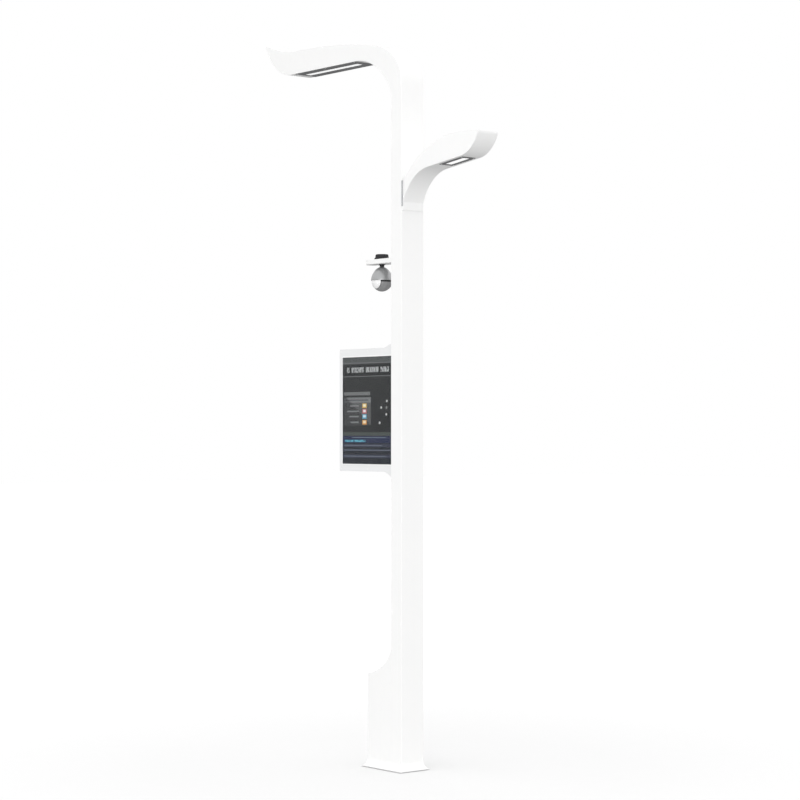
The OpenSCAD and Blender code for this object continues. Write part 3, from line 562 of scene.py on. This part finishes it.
# ------------------------------------------------------------------ lamp modules
def lamp(prefix, x0, x1, w, l, at, nodes):
    frame_ob = prism(prefix + "_frame", rect_pts(x0, x1, -w, w, 5), "xy", -3, 0.02)
    soften(frame_ob, 1.2, 3, pick=lambda m, v: m.z < -2.9)
    fuse(frame_ob, prism("c", rect_pts(x0 + 12.5, x1 - 12.5, -w + 12.5, w - 12.5), "xy", -0.5, 20))
    cut(frame_ob, prism("c", rect_pts(x0 + 17, x1 - 17, -w + 17, w - 17), "xy", 0, 24), prism("c", rect_pts(l[0], l[1], l[2], l[3], 3), "xy", -6, 3))
    rim = lambda m, v: abs(m.z + 3) < 0.02 and l[0] - 1 < m.x < l[1] + 1 and l[2] - 1 < m.y < l[3] + 1
    soften(frame_ob, 0.7, 2, pick=rim)
    lens = prism(prefix + "_lens", rect_pts(l[0] + 0.3, l[1] - 0.3, l[2] + 0.3, l[3] - 0.3, 3), "xy", -0.5, 1.5)
    soften(lens, 0.4, 2, pick=lambda m, v: m.z < -0.4)
    parts = [prism("c", rect_pts(l[0] - 7, l[1] + 7, l[2] - 7, l[3] + 7, 2), "xy", 0, 3)]
    fuse(lens, *parts)
    # moulded lenslets, one below each LED
    verts, faces = [tuple(v.co / MM) for v in lens.data.vertices], [tuple(p.vertices) for p in lens.data.polygons]
    x = l[0] + 20
    while x <= l[1] - 20 + 1e-6:
        for k in ((0.2, 0.5, 0.8) if l[3] - l[2] > 70 else (0.27, 0.73)):
            cy = l[2] + k * (l[3] - l[2])
            base = len(verts)
            rings = 6
            for i in range(rings):
                r = 9.0 * math.cos(math.radians(90 * i / rings))
                h = -0.4 - 1.7 * math.sin(math.radians(90 * i / rings))
                verts += [(x + r * math.cos(2 * math.pi * j / 24), cy + r * math.sin(2 * math.pi * j / 24), h) for j in range(24)]
            verts.append((x, cy, -2.1))
            for i in range(rings - 1):
                faces += [(base + i * 24 + j, base + i * 24 + (j + 1) % 24, base + (i + 1) * 24 + (j + 1) % 24, base + (i + 1) * 24 + j) for j in range(24)]
            faces += [(base + (rings - 1) * 24 + j, base + (rings - 1) * 24 + (j + 1) % 24, len(verts) - 1) for j in range(24)]
            faces.append(tuple(base + j for j in range(23, -1, -1)))
        x += 37
    old = lens.data
    bpy.data.objects.remove(lens)
    bpy.data.meshes.remove(old)
    lens = make(prefix + "_lens", verts, faces)
    for ob, node in ((frame_ob, nodes[0]), (lens, nodes[1])):
        ob.data.transform(at)
        place(ob, node)


ON_ARM = Matrix.Translation((0, 0, UNDER * MM))
BR_A = math.atan(49 / 400)
ON_BRANCH = Matrix.Translation(((XB - 530) * MM, 0, 4982.5 * MM)) @ Matrix.Rotation(BR_A, 4, "Y")
lamp("lamp_upper", 391, 1246, 113, (471, 1211, -33, 33), ON_ARM, ("upper_led_bezel", "upper_led_lens"))
lamp("lamp_branch", -181.4, 105.8, 73, (-151, 75.6, -36, 36), ON_BRANCH, ("branch_led_bezel", "branch_led_lens"))

# ------------------------------------------------------------------ branch arm
bu1 = bez((-938, 5178), (-890, 5070), (-800, 5016), (-730, 5007), 42)
bu2 = bez((-330, 4958), (-110, 4935), (-5, 4740), (0, 4620), 56)
bt1 = bez((0, 4850), (-60, 4960), (-250, 5120), (-520, 5186), 56)
bt2 = bez((-520, 5186), (-630, 5212), (-790, 5206), (-938, 5190), 42)
br_outer = off(bu1 + bu2 + bt1 + bt2[1:])
br_inner = inset(off(bu1[9:] + bu2 + bt1 + bt2[1:34]), 4)
br = prism("lamp_arm_branch", br_outer, "xz", -107, 107)
soften(br, 2.6, 4, angle=25, pick=lambda m, w: m.x < XB - 1.5)
hole = prism("c", rect_pts(-181.4 + 12, 105.8 - 12, -61, 61), "xy", -4, 8)
hole.data.transform(ON_BRANCH)
cut(br, prism("c", br_inner, "xz", -103, 103))
fuse(br, block("c", (XB - 13, -107, 4630), (XB, 107, 4700)))
cut(br, block("c", (XB - 8.2, -140, 4661.8), (XB + 6, 140, 4872.2)), block("c", (XB - 30, -140, 4600), (XB + 1, 140, 4630)), hole)
place(br, "branch_arm_shell")

# ------------------------------------------------------------------ camera bracket and camera
CAM = (179.0, 0.0, 4065.0)
shelf_line = [(XF, -80)] + arc((267, 0), 80, -90, 90, 48) + [(XF, 80)]
shelf = prism("camera_bracket", shelf_line, "xy", 4211, 4250)
soften(shelf, 2.2, 3, pick=lambda m, w: m.x > XF + 0.5)
cut(shelf, prism("c", inset(shelf_line, 4), "xy", 4214, 4247), rod("c", (0, 20, 4230.5), "x", XF - 3, XF + 9, 12), rod("c", (150, 20, 0), "z", 4242, 4254, 10))
place(shelf, "camera_shelf")

jb = lathe("camera_power_box", [(0, 4250), (63.4, 4250), (64, 4250.6), (64, 4255), (63.2, 4255.3), (63.2, 4256.5), (64, 4256.8), (64, 4260.2), (63.5, 4261.2), (57.5, 4266.4), (56.9, 4267.4),
                                (54.2, 4287.5), (53.4, 4289.6), (50.4, 4293), (48.6, 4294), (0, 4294)], (CAM[0], 0, 0), "z", 96)
place(jb, "camera_junction_box")

neck = lathe("camera_stem", [(8.05, 4190.5), (20, 4190.5), (20, 4195), (18.6, 4196), (18.6, 4197.4), (20, 4198.4), (20, 4205.4), (24.6, 4206), (26, 4207.4), (26, 4211), (0, 4211), (0, 4203), (8.05, 4203)],
             (CAM[0], 0, 0), "z", 72)
place(neck, "camera_neck")


def egg(r, h, z0, a0, a1, n):
    out = []
    for i in range(n + 1):
        a = math.radians(a0 + (a1 - a0) * i / n)
        out.append((r * math.cos(a) ** 1.11, z0 + h * math.sin(a) ** 1.11))
    return out


hood = lathe("camera_cover", [(91.2, 4075), (92.5, 4075.5), (93.1, 4076.8), (93.1, 4079), (92.9, 4080.2)] + egg(93, 116, 4075, 5.5, 82.3, 40)
             + [(9.2, 4189.8), (9.2, 4186.8)] + egg(90.5, 113, 4075, 82.1, 0.6, 36), (CAM[0], 0, 0), "z", 128)
place(hood, "camera_hood")


def ball_arc(r, y0, y1, n):
    a0, a1 = math.asin(y0 / r), math.asin(y1 / r)
    return [(r * math.cos(a0 + (a1 - a0) * i / n), r * math.sin(a0 + (a1 - a0) * i / n)) for i in range(n + 1)]


yoke = None
for s in (1, -1):
    pr = [(0, s * 86)] + [(r, s * y) for r, y in ball_arc(86, 85.9, 62.6, 26)] + [(59.2, s * 62.1), (58.2, s * 62.0)] + [(r, s * y) for r, y in ball_arc(84.5, 62.2, 84.4, 26)] + [(0, s * 84.5)]
    dish = lathe("camera_cradle" if s > 0 else "c", pr, CAM, "y", 96)
    if yoke is None:
        yoke = dish
    else:
        fuse(yoke, dish)
crown = lathe("c", [(0, 4118)] + egg(89, 112, 4075, 25.5, 58, 22) + [(8, 4173), (8, 4201), (0, 4201)], (CAM[0], 0, 0), "z", 96)
cut(crown, lathe("c", [(0, -84.5)] + ball_arc(84.5, -84.3, 84.3, 60) + [(0, 84.5)], CAM, "z", 96))
fuse(yoke, crown)
for s in (1, -1):
    fuse(yoke, rod("c", CAM, "y", min(s * 60, s * 85), max(s * 60, s * 85), 12, 40))
cut(yoke, rod("c", CAM, "y", -78, 78, 6, 40))
place(yoke, "camera_yoke")
# painted shadow: a black ring hung just under the hood's rim, between the cheeks, stands in for the shadowed gap
# between hood and ball
shadow_gap_ring = lathe("camera_painted_shadow_ring", [(83.9, 4061.5), (85.5, 4061.5), (86, 4062), (86, 4073.5), (85.5, 4074), (83.9, 4074)], (CAM[0], 0, 0), "z", 128)
cut(shadow_gap_ring, block("c", (80, 61.9, 4050), (300, 100, 4090)), block("c", (80, -100, 4050), (300, -61.9, 4090)))
place(shadow_gap_ring, "camera_seal")
# the camera rests looking 40 degrees below level
LOOK = Matrix.Translation([c * MM for c in CAM]) @ Matrix.Rotation(math.radians(40), 4, "Y") @ Matrix.Translation([-c * MM for c in CAM])

ball = lathe("camera_ball_body", [(0, 55), (60.4, 55), (61.6, 54.7)] + ball_arc(83, 54.3, -54.3, 64) + [(61.6, -54.7), (60.4, -55), (0, -55)], CAM, "y", 128)
cut(ball, block("c", (CAM[0] + 76, -80, CAM[2] - 80), (CAM[0] + 100, 80, CAM[2] + 80)))
soften(ball, 1.2, 3, angle=40, pick=lambda m, w: m.x > CAM[0] + 75.9)
core = lathe("c", [(0, 51)] + ball_arc(80, 51, -51, 40) + [(0, -51)], CAM, "y", 96)
cut(core, block("c", (CAM[0] + 73, -80, CAM[2] - 80), (CAM[0] + 100, 80, CAM[2] + 80)))
cut(ball, core, rod("c", CAM, "x", 60, 90, 30, 72), rod("c", CAM, "y", -70, 70, 6.05, 40))
seam = lathe("c", [(82.2, -0.6), (90, -0.6), (90, 0.6), (82.2, 0.6)], CAM, "y", 128)
cut(ball, seam)
ball.data.transform(LOOK)
place(ball, "camera_ball")
remake("camera_tilt_pins", "camera_pivots", 0.8)
remake("camera_lens", "camera_lens_block", 1.2, 3)
win = lathe("camera_front_glass", [(0, 66), (31.4, 66), (32, 66.6), (32, 73), (29.8, 73), (29.8, 76), (28.8, 77), (0, 77)], CAM, "x", 72)
win.data.transform(LOOK)
place(win, "camera_window")

# ------------------------------------------------------------------ display
DX1, DZ0, DZ1 = 681.0, 2470.0, 3507.0
dtop = bez((XF + 172, DZ1), (XF + 118, DZ1 + 8), (XF + 60, DZ1 + 45), (XF, DZ1 + 92), 30)
dbot = bez((XF, DZ0 - 92), (XF + 60, DZ0 - 45), (XF + 118, DZ0 - 8), (XF + 172, DZ0), 30)
d_out = dbot + arc((DX1 - 8, DZ0 + 8), 8, -90, 0, 10) + arc((DX1 - 8, DZ1 - 8), 8, 0, 90, 10) + dtop
case = prism("display_housing", d_out, "xz", -55.4, 55.4)
soften(case, 0.7, 2, pick=lambda m, w: m.x > XF + 0.5)
cut(case, prism("c", inset(d_out, 4), "xz", -70, 70), rod("c", (0, 20, 3000), "x", XF - 3, XF + 8, 12))
place(case, "display_case")
PIC = (-38.0, 642.0, 2531.0, 3437.0)
for s, tag in ((-1, "front"), (1, "rear")):
    y_in, y_out = s * 55.5, s * 58.5
    bz = prism("display_bezel_" + tag + "_plate", d_out, "xz", min(y_in, y_out), max(y_in, y_out))
    soften(bz, 1.8, 3, pick=lambda m, w: m.x > XF + 0.5 and abs(m.y) > 58.4)
    cut(bz, prism("c", rect_pts(*PIC, 2), "xz", min(s * 50, s * 64), max(s * 50, s * 64)))
    place(bz, "display_bezel_" + tag)
    # raised trim round the picture in the white coat: a real trim whose white against the darker bezel paint is a
    # painted highlight line
    trim = prism("display_trim_" + tag, rect_pts(PIC[0] - 8.5, PIC[1] + 8.5, PIC[2] - 8.5, PIC[3] + 8.5, 4), "xz", min(s * 58.4, s * 60), max(s * 58.4, s * 60))
    soften(trim, 0.9, 3, pick=lambda m, w: abs(m.y) > 59.9)
    cut(trim, prism("c", rect_pts(PIC[0] + 0.2, PIC[1] - 0.2, PIC[2] + 0.2, PIC[3] - 0.2, 2), "xz", min(s * 50, s * 64), max(s * 50, s * 64)))
    clean(trim)
    trim.data.shade_smooth()
    trim.data.set_sharp_from_angle(angle=math.radians(34))
    trim.data.materials.append(MATS["white_coat"])
    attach(trim, "pole")
    gl = prism("display_glass_" + tag + "_pane", rect_pts(PIC[0] - 12, PIC[1] + 12, PIC[2] - 12, PIC[3] + 12, 3), "xz", min(s * 51.6, s * 55.4), max(s * 51.6, s * 55.4))
    soften(gl, 0.5, 2)
    place(gl, "display_glass_" + tag)
    lcd = prism("display_lcd_" + tag + "_panel", rect_pts(PIC[0] - 8, PIC[1] + 8, PIC[2] - 8, PIC[3] + 8, 2), "xz", min(s * 36.5, s * 51), max(s * 36.5, s * 51))
    soften(lcd, 0.5, 2)
    place(lcd, "display_lcd_" + tag)

# ------------------------------------------------------------------ cabinet, door and base
cab_curve = bez((XC, 782), (111, 790), (-55, 880), (XF, 1015), 60)
cab = prism("cabinet_body", [(XF, 20), (XC, 20)] + cab_curve, "xz", -HW, HW)
soften(cab, 2.6, 4, angle=25, pick=lambda m, w: m.x > XF + 0.5 and m.z > 21)
fuse_lip = prism("c", rect_pts(-53, 193, 117, 563), "xz", -HW + 2.5, -HW + 9)
cut(cab, prism("c", inset([(XF - 12, 8), (XC, 8)] + cab_curve + [(XF - 12, 1025)], 3), "xz", -HW + 3, HW - 3))
fuse(cab, fuse_lip)
cut(cab, prism("c", rect_pts(-50, 190, 120, 560), "xz", -HW - 4, -HW + 12), prism("c", rect_pts(-25, 165, 600, 745), "xz", -HW - 4, -HW + 12))
place(cab, "cabinet_shell")

door = prism("cabinet_door_leaf", rect_pts(-48, 188, 122, 558, 2), "xz", -HW, -HW + 8.5)
soften(door, 1.4, 3, pick=lambda m, w: m.y < -HW + 0.1)
cut(door, prism("c", rect_pts(-46, 186, 124, 556), "xz", -HW + 2.5, -HW + 12), rod("c", (-28, 0, 340), "y", -HW - 3, -HW + 12, 9.05))
# two pressed stiffening fields and a row of vent slots near the foot
press = []
for z0, z1 in ((380, 528), (200, 300)):
    press.append(prism("c", rect_pts(0, 160, z0, z1, 8), "xz", -HW - 1, -HW + 0.7))
cut(door, *press)
slots = [prism("c", rect_pts(10, 150, 142 + 11 * k, 146 + 11 * k, 2), "xz", -HW - 2, -HW + 4) for k in range(4)]
cut(door, *slots)
place(door, "cabinet_door")

skirt = bez((40, 9), (20, 14), (4, 35), (2.5, 75), 28)
profile = [(39.4, 4), (40, 4.6)] + skirt + [(0.5, 75)] + bez((0.5, 70), (0.5, 33), (16, 10), (36, 8), 20) + [(36, 4)]


def skirt_half(name, sgn, node):
    stations = []
    stations.append(lambda d: (XC + d, 0.3))
    for i in range(7):
        a = math.radians(90 * i / 6)
        stations.append(lambda d, a=a: (XC + d - 2.5 + 2.5 * math.cos(a), HW + d - 2.5 + 2.5 * math.sin(a)))
    for i in range(7):
        a = math.radians(90 + 90 * i / 6)
        stations.append(lambda d, a=a: (XB - d + 2.5 + 2.5 * math.cos(a), HW + d - 2.5 + 2.5 * math.sin(a)))
    stations.append(lambda d: (XB - d, 0.3))
    n = len(profile)
    verts = [(*(lambda p: (p[0], sgn * p[1]))(st(d)), z) for st in stations for d, z in profile]
    faces = [tuple(range(n)), tuple(range((len(stations) - 1) * n, len(stations) * n))]
    for k in range(len(stations) - 1):
        faces += [(k * n + i, k * n + (i + 1) % n, (k + 1) * n + (i + 1) % n, (k + 1) * n + i) for i in range(n)]
    ob = make(name, verts, faces)
    place(ob, node, angle=30)


skirt_half("base_cover_rear", 1, "base_skirt_rear")
skirt_half("base_cover_front", -1, "base_skirt_front")

# ------------------------------------------------------------------ hardware and internals with the CAD's exact shape
for node, name, width in (
        ("base_plate", "base_flange", 1.5), ("arm_spigot", "arm_spigot_tube", 0.8), ("branch_mount_plate", "branch_flange", 1.0),
        ("led_boards", "lamp_boards", 0), ("led_chips", "lamp_leds", 0.5), ("led_heatsinks", "lamp_heatsinks", 0.3), ("led_drivers", "lamp_drivers", 3),
        ("display_chassis", "display_chassis_plate", 0.5), ("display_controller", "display_controller_board", 0.5), ("display_power_supply", "display_power_unit", 1.5),
        ("door_hinge_leaf_fixed", "hinge_fixed", 0.3), ("door_hinge_leaf_moving", "hinge_moving", 0.3), ("door_lock", "quarter_turn_lock", 0.5),
        ("socket_panel", "user_panel", 0.5), ("socket_body", "outlet_socket", 0.4), ("socket_flap", "outlet_flap", 0.5), ("status_ring", "status_ring_light", 0.2),
        ("rfid_reader", "card_reader", 0.4), ("start_button", "start_button_cap", 0.25),
        ("equipment_plate", "equipment_rails", 0.4), ("circuit_breakers", "breaker_row", 0.6), ("contactor", "contactor_block", 1.0), ("energy_meter", "energy_meter_case", 1.0),
        ("charge_controller", "charge_controller_box", 2.5), ("terminal_block", "terminal_row", 0.4), ("wiring_harness", "wiring_runs", 0), ("structural_bolts", "bolts_structural", 0.6),
        ("cover_screws", "screws_cover", 0.35)):
    remake(node, name, width)

# the cover screws' heads are painted over with the covers
painted = bpy.data.objects["screws_cover"].data.materials
for i in range(len(painted)):
    painted[i] = MATS["white_coat"]

# ------------------------------------------------------------------ floor, light and camera
floor_me = bpy.data.meshes.new("studio_floor")
floor_me.from_pydata([(-90, -90, -0.0004), (90, -90, -0.0004), (90, 90, -0.0004), (-90, 90, -0.0004)], [], [(0, 1, 2, 3)])
floor = bpy.data.objects.new("studio_floor", floor_me)
bpy.context.scene.collection.objects.link(floor)
g = Mat("studio_floor_painted_light_and_shade")
# camera rays see a near-white floor and all other rays a dim one: the dim bounce paints shade onto the object's
# undersides
seen = g.n("ShaderNodeLightPath").outputs["Is Camera Ray"]
fine = g.noise(6.0, 3.0)
tone = g.mix(fine, (0.878, 0.878, 0.878), (0.888, 0.888, 0.888))
near = g.n("ShaderNodeVectorMath", operation="LENGTH")
g.link(g.co, near.inputs[0])
# painted shade: the floor the camera sees is darker within 2 m of the base and near white from 9 m out
tone = g.mix(g.remap(near.outputs["Value"], 2.0, 9.0, 0.0, 1.0), tone, (0.965, 0.965, 0.965))
# painted light: the bounce tone is brighter within 3 m of the base, a pool of light thrown back onto the lower pole
bounce_painted_light = g.mix(g.remap(near.outputs["Value"], 0.3, 3.0, 1.0, 0.0), (0.41, 0.41, 0.41), (0.53, 0.53, 0.53))
g.set(color=g.mix(seen, bounce_painted_light, tone), rough=g.remap(fine, 0.3, 0.7, 0.85, 0.9), spec=0.0)
floor_me.materials.append(g.m)

world = bpy.data.worlds.new("studio_world")
bpy.context.scene.world = world
world.use_nodes = True
wt = world.node_tree
wt.nodes.clear()
wo = wt.nodes.new("ShaderNodeOutputWorld")
wb = wt.nodes.new("ShaderNodeBackground")
wc = wt.nodes.new("ShaderNodeTexCoord")
wd = wt.nodes.new("ShaderNodeVectorMath")
wd.operation = "DOT_PRODUCT"
wd.inputs[1].default_value = (0.0, 0.0, 1.0)
wm = wt.nodes.new("ShaderNodeMapRange")
for k, v in (("From Min", -0.2), ("From Max", 1.0), ("To Min", 1.02), ("To Max", 1.14)):
    wm.inputs[k].default_value = v
wt.links.new(wc.outputs["Generated"], wd.inputs[0])
wt.links.new(wd.outputs["Value"], wm.inputs["Value"])
wl = wt.nodes.new("ShaderNodeLightPath")
wx = wt.nodes.new("ShaderNodeMix")
wx.data_type = "FLOAT"
wt.links.new(wl.outputs["Is Camera Ray"], wx.inputs[0])
wt.links.new(wm.outputs[0], wx.inputs[2])
wx.inputs[3].default_value = 1.0
wt.links.new(wx.outputs[0], wb.inputs["Strength"])
wb.inputs["Color"].default_value = (1, 1, 1, 1)
wt.links.new(wb.outputs[0], wo.inputs[0])

# a long, low softbox from the viewer's side
key = bpy.data.lights.new("soft_key", "AREA")
key.shape = "RECTANGLE"
key.size, key.size_y = 9.0, 1.8
key.energy = 2550
key_ob = bpy.data.objects.new("soft_key", key)
bpy.context.scene.collection.objects.link(key_ob)
KEY_AT = Vector((-17.5, 18.5, 1.0))
key_ob.matrix_world = Matrix.Translation(KEY_AT) @ (KEY_AT - Vector((0, 0, 3.0))).to_track_quat("Z", "Y").to_matrix().to_4x4()

cam_data = bpy.data.cameras.new("camera")
cam_data.lens = 99
cam_data.sensor_width = 36
cam_data.shift_y = 0.04
cam_data.clip_start, cam_data.clip_end = 0.1, 400
cam = bpy.data.objects.new("camera", cam_data)
bpy.context.scene.collection.objects.link(cam)
cam.matrix_world = Matrix(((-0.6363, 0, -0.7714, -14.180), (-0.7714, 0, 0.6363, 11.648), (0, 1, 0, 2.802), (0, 0, 0, 1)))
bpy.context.scene.camera = cam
vs = bpy.context.scene.view_settings
vs.view_transform = "Standard"
vs.look = "None"
vs.exposure = 0
vs.gamma = 1

bpy.context.view_layer.update()
